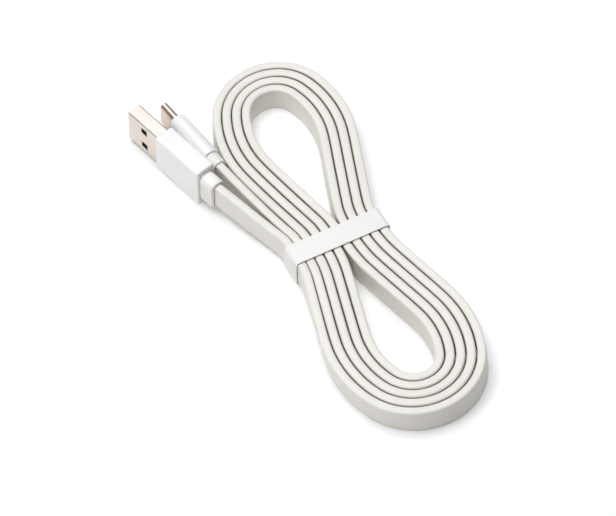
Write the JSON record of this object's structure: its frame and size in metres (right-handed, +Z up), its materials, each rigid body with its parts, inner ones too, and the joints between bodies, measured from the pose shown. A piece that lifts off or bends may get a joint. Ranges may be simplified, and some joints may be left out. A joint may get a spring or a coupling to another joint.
{
  "type": "charging cable",
  "caption": "Flat white charging cable with a USB-A plug and a USB-C plug, wound on edge into a figure-eight hank and held at the waist by a plain band.",
  "frame": {"origin": "centre of the bounding box's underside, on the surface that the cable lies on, inside the hank's waist", "axes": "+Z up, +Y along the hank from its five-winding lobe to the lobe beside the plugs, +X to the right seen from above with +Y away"},
  "size_m": [0.0592, 0.1326, 0.0138],
  "materials": {
    "cable_jacket": "satin warm white elastomer",
    "band": "matte white",
    "plug_mould": "smooth bright white",
    "strain_relief": "satin white",
    "inner_mould": "milky polyethylene",
    "usb_a_plating": "pale champagne nickel plate",
    "usb_c_plating": "rose-tinted nickel plate",
    "dark_insulator": "moulded, fine matte",
    "contact_gold": "gold flash",
    "spring_steel": "plain stamped",
    "circuit_board": "solder mask",
    "resistor_body": "fired film",
    "wire_red": "extruded",
    "wire_black": "extruded",
    "wire_green": "extruded",
    "wire_white": "extruded"
  },
  "bodies": {
    "cable": {"cable_hank": "cable_jacket", "lead_usb_a": "cable_jacket", "lead_usb_c": "cable_jacket", "usb_a_shell": "usb_a_plating", "usb_a_tongue": "dark_insulator", "usb_a_power_contacts": "contact_gold", "usb_a_data_contacts": "contact_gold", "usb_a_inner_mould": "inner_mould", "usb_a_overmould": "plug_mould", "usb_a_strain_relief": "strain_relief", "usb_a_power_wire": "wire_red", "usb_a_data_minus_wire": "wire_white", "usb_a_data_plus_wire": "wire_green", "usb_a_ground_wire": "wire_black", "usb_c_shell": "usb_c_plating", "usb_c_contact_body": "dark_insulator", "usb_c_upper_contacts": "contact_gold", "usb_c_lower_contacts": "contact_gold", "usb_c_board": "circuit_board", "usb_c_resistor": "resistor_body", "usb_c_latch": "spring_steel", "usb_c_ground_springs": "spring_steel", "usb_c_inner_mould": "inner_mould", "usb_c_overmould": "plug_mould", "usb_c_strain_relief": "strain_relief", "usb_c_power_wire": "wire_red", "usb_c_data_minus_wire": "wire_white", "usb_c_data_plus_wire": "wire_green", "usb_c_ground_wire": "wire_black"},
    "band": {"cable_band": "band"}
  },
  "joints": [
    {"name": "band_slide", "type": "slide", "parent": "cable", "child": "band", "axis": [0, 1, 0], "range_m": [-0.001, 0.002]}
  ]
}
